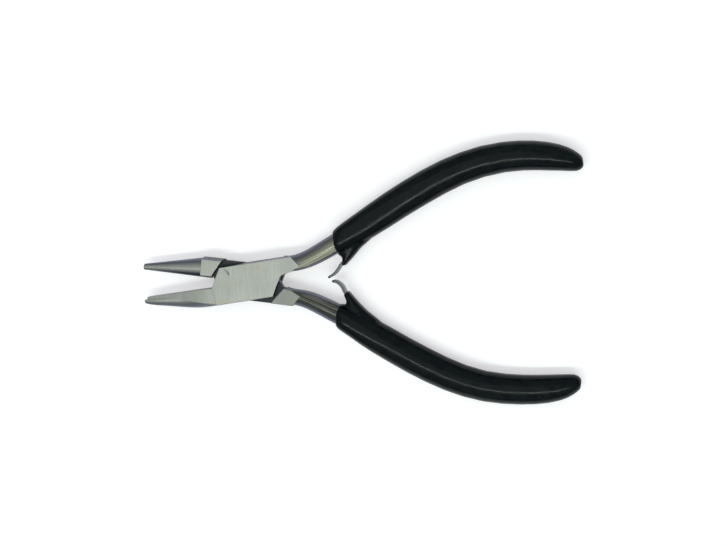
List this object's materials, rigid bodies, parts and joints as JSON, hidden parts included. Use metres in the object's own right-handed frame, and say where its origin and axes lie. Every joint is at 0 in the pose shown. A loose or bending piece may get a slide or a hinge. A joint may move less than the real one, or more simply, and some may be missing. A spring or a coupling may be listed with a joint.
{
  "type": "flat and round nose pliers",
  "caption": "Small box-joint jewellery pliers with a flat jaw, a round jaw, double leaf springs and dipped grips.",
  "frame": {"origin": "on the pivot axis, at the underside of the box joint", "axes": "+X from the pivot towards the handles (jaws towards -X), +Y towards the handle of the flat-jaw half, +Z along the pivot axis"},
  "size_m": [0.1301, 0.0753, 0.0084],
  "materials": {
    "jaw_steel": "fine cross-ground tool steel",
    "pin_steel": "ground flush with the joint",
    "spring_steel": "bright rolled strip",
    "grip": "glossy dipped soft vinyl"
  },
  "bodies": {
    "flat_half": {"flat_jaw_half": "jaw_steel", "flat_half_grip_sleeve": "grip", "flat_half_spring_root": "spring_steel", "flat_half_spring_rivet": "pin_steel"},
    "pivot": {"pivot_pin": "pin_steel"},
    "round_half": {"round_jaw_half": "jaw_steel", "round_half_grip_sleeve": "grip", "round_half_spring_root": "spring_steel", "round_half_spring_rivet": "pin_steel"},
    "flat_spring": {"flat_half_spring_blade": "spring_steel", "flat_half_spring_web": "grip"},
    "round_spring": {"round_half_spring_blade": "spring_steel", "round_half_spring_web": "grip"}
  },
  "joints": [
    {"name": "open_wide", "type": "hinge", "parent": "flat_half", "child": "pivot", "pos_m": [0, 0, 0.0035], "axis": [0, 0, 1], "range_deg": [-30, 0]},
    {"name": "squeeze", "type": "hinge", "parent": "pivot", "child": "round_half", "pos_m": [0, 0, 0.0035], "axis": [0, 0, 1], "range_deg": [0, 14.5], "stiffness_Nm_per_rad": 1.8},
    {"name": "flat_spring_bend", "type": "hinge", "parent": "flat_half", "child": "flat_spring", "pos_m": [0.03311, 0.009, 0.0035], "axis": [0, 0, 1], "range_deg": [-18.3, 0], "deforming": ["flat_half_spring_web"]},
    {"name": "round_spring_bend", "type": "hinge", "parent": "round_half", "child": "round_spring", "pos_m": [0.0332, -0.0083, 0.0035], "axis": [0, 0, 1], "range_deg": [0, 18.3], "deforming": ["round_half_spring_web"]}
  ],
  "couplings": [
    {"joint": "flat_spring_bend", "follows": "squeeze", "ratio": -1.25},
    {"joint": "round_spring_bend", "follows": "squeeze", "ratio": 1.25}
  ]
}
